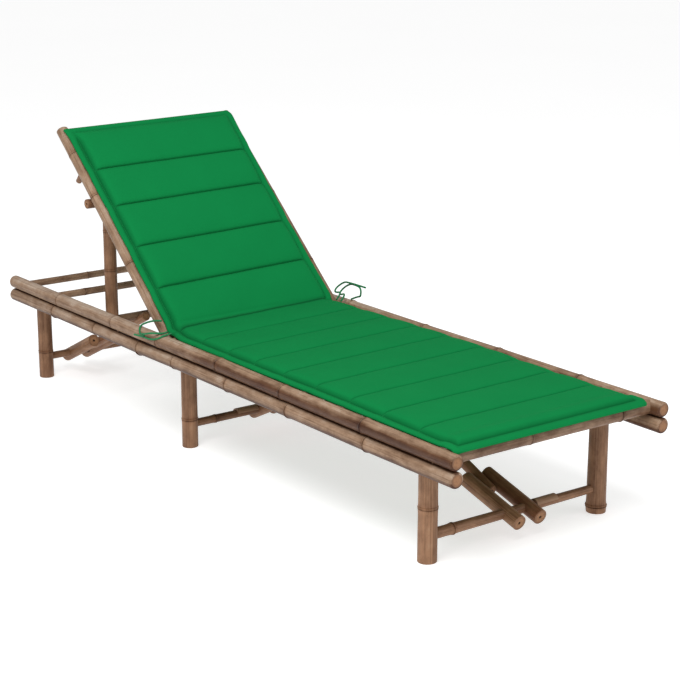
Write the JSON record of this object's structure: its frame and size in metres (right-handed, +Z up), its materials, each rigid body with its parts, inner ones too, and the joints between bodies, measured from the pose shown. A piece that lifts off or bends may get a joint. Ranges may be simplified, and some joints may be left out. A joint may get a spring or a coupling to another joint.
{
  "type": "bamboo sun lounger",
  "caption": "Low bamboo sun lounger with stacked side poles, a hinged back on prop posts, folding leg frames with hooked braces, and a quilted pad.",
  "frame": {"origin": "on the floor, midway between the side rails and midway along them", "axes": "+Y along the bed towards the raised back, +X to the side, +Z up; the left side is -X"},
  "size_m": [0.6595, 2, 0.762],
  "materials": {
    "pole_bamboo": "dry bamboo skin, satin, with faint grain",
    "leg_bamboo": "older brown bamboo skin, satin",
    "brace_bamboo": "dark bamboo skin, satin",
    "peg_wood": "bare hardwood peg",
    "pad_fabric": "matt woven cover over soft filling",
    "cord": "matt round cord"
  },
  "bodies": {
    "frame": {"upper_rail_left": "pole_bamboo", "upper_rail_right": "pole_bamboo", "lower_rail_left": "pole_bamboo", "lower_rail_right": "pole_bamboo", "rail_pegs": "peg_wood", "foot_crossbar": "pole_bamboo", "head_crossbar_inner": "pole_bamboo", "head_crossbar_outer": "pole_bamboo", "seat_canes": "pole_bamboo", "brace_pole_front": "pole_bamboo", "brace_pole_middle": "pole_bamboo", "prop_rest_pole": "pole_bamboo", "back_hinge_rod": "pole_bamboo", "leg_pivot_pegs": "peg_wood", "seat_pad": "pad_fabric", "tie_left_loop": "cord", "tie_left_tail": "cord", "tie_right_tail": "cord", "tie_right_arch": "cord"},
    "back": {"back_pole_left": "pole_bamboo", "back_pole_right": "pole_bamboo", "back_top_bar": "pole_bamboo", "back_canes": "pole_bamboo", "prop_hinge_bar": "pole_bamboo", "stop_pegs": "peg_wood", "bar_pegs": "peg_wood", "back_pad": "pad_fabric"},
    "prop_left": {"prop_post_left": "pole_bamboo"},
    "prop_right": {"prop_post_right": "pole_bamboo"},
    "legs_front": {"leg_front_left": "leg_bamboo", "leg_front_right": "leg_bamboo", "front_leg_crossbar": "leg_bamboo", "front_keeper": "leg_bamboo"},
    "brace_front": {"front_brace_left": "brace_bamboo", "front_brace_right": "brace_bamboo", "front_brace_pin": "brace_bamboo"},
    "strut_front": {"front_strut": "brace_bamboo"},
    "legs_middle": {"leg_middle_left": "leg_bamboo", "leg_middle_right": "leg_bamboo", "middle_leg_crossbar": "leg_bamboo", "middle_keeper": "leg_bamboo"},
    "brace_middle": {"middle_brace_left": "brace_bamboo", "middle_brace_right": "brace_bamboo", "middle_brace_pin": "brace_bamboo"},
    "strut_middle": {"middle_strut": "brace_bamboo"},
    "legs_rear": {"leg_rear_left": "leg_bamboo", "leg_rear_right": "leg_bamboo", "rear_leg_crossbar": "leg_bamboo", "rear_keeper": "leg_bamboo"},
    "brace_rear": {"rear_brace_left": "brace_bamboo", "rear_brace_right": "brace_bamboo", "rear_brace_pin": "brace_bamboo"},
    "strut_rear": {"rear_strut": "brace_bamboo"}
  },
  "joints": [
    {"name": "back_recline", "type": "hinge", "parent": "frame", "child": "back", "pos_m": [0, 0.205, 0.279], "axis": [1, 0, 0], "range_deg": [-35.7, 0]},
    {"name": "prop_left_swing", "type": "hinge", "parent": "back", "child": "prop_left", "pos_m": [-0.217, 0.58497, 0.57092], "axis": [1, 0, 0], "range_deg": [-48.9, 0]},
    {"name": "prop_right_swing", "type": "hinge", "parent": "back", "child": "prop_right", "pos_m": [0.217, 0.58497, 0.57092], "axis": [1, 0, 0], "range_deg": [-48.9, 0]},
    {"name": "fold_front", "type": "hinge", "parent": "frame", "child": "legs_front", "pos_m": [0, -0.847, 0.236], "axis": [1, 0, 0], "range_deg": [0, 88]},
    {"name": "brace_front_turn", "type": "hinge", "parent": "legs_front", "child": "brace_front", "pos_m": [0.0065, -0.847, 0.06], "axis": [1, 0, 0], "range_deg": [-267.64, 0]},
    {"name": "strut_front_turn", "type": "hinge", "parent": "brace_front", "child": "strut_front", "pos_m": [0.0065, -0.72751, 0.09314], "axis": [1, 0, 0], "range_deg": [0, 159.68]},
    {"name": "fold_middle", "type": "hinge", "parent": "frame", "child": "legs_middle", "pos_m": [0, 0.125, 0.236], "axis": [-1, 0, 0], "range_deg": [0, 88]},
    {"name": "brace_middle_turn", "type": "hinge", "parent": "legs_middle", "child": "brace_middle", "pos_m": [0.0015, 0.125, 0.06], "axis": [-1, 0, 0], "range_deg": [-274.17, 0]},
    {"name": "strut_middle_turn", "type": "hinge", "parent": "brace_middle", "child": "strut_middle", "pos_m": [0.0015, 0.027, 0.10772], "axis": [-1, 0, 0], "range_deg": [0, 163.96]},
    {"name": "fold_rear", "type": "hinge", "parent": "frame", "child": "legs_rear", "pos_m": [0, 0.919, 0.236], "axis": [-1, 0, 0], "range_deg": [0, 88]},
    {"name": "brace_rear_turn", "type": "hinge", "parent": "legs_rear", "child": "brace_rear", "pos_m": [-0.1325, 0.919, 0.06], "axis": [-1, 0, 0], "range_deg": [-274.17, 0]},
    {"name": "strut_rear_turn", "type": "hinge", "parent": "brace_rear", "child": "strut_rear", "pos_m": [-0.1325, 0.821, 0.10772], "axis": [-1, 0, 0], "range_deg": [0, 163.96]}
  ],
  "couplings": [
    {"joint": "prop_left_swing", "follows": "back_recline", "ratio": 1.3681},
    {"joint": "prop_right_swing", "follows": "back_recline", "ratio": 1.3681},
    {"joint": "brace_front_turn", "follows": "fold_front", "ratio": -3.0408},
    {"joint": "strut_front_turn", "follows": "fold_front", "ratio": 1.814},
    {"joint": "brace_middle_turn", "follows": "fold_middle", "ratio": -3.115},
    {"joint": "strut_middle_turn", "follows": "fold_middle", "ratio": 1.8626},
    {"joint": "brace_rear_turn", "follows": "fold_rear", "ratio": -3.115},
    {"joint": "strut_rear_turn", "follows": "fold_rear", "ratio": 1.8626}
  ]
}
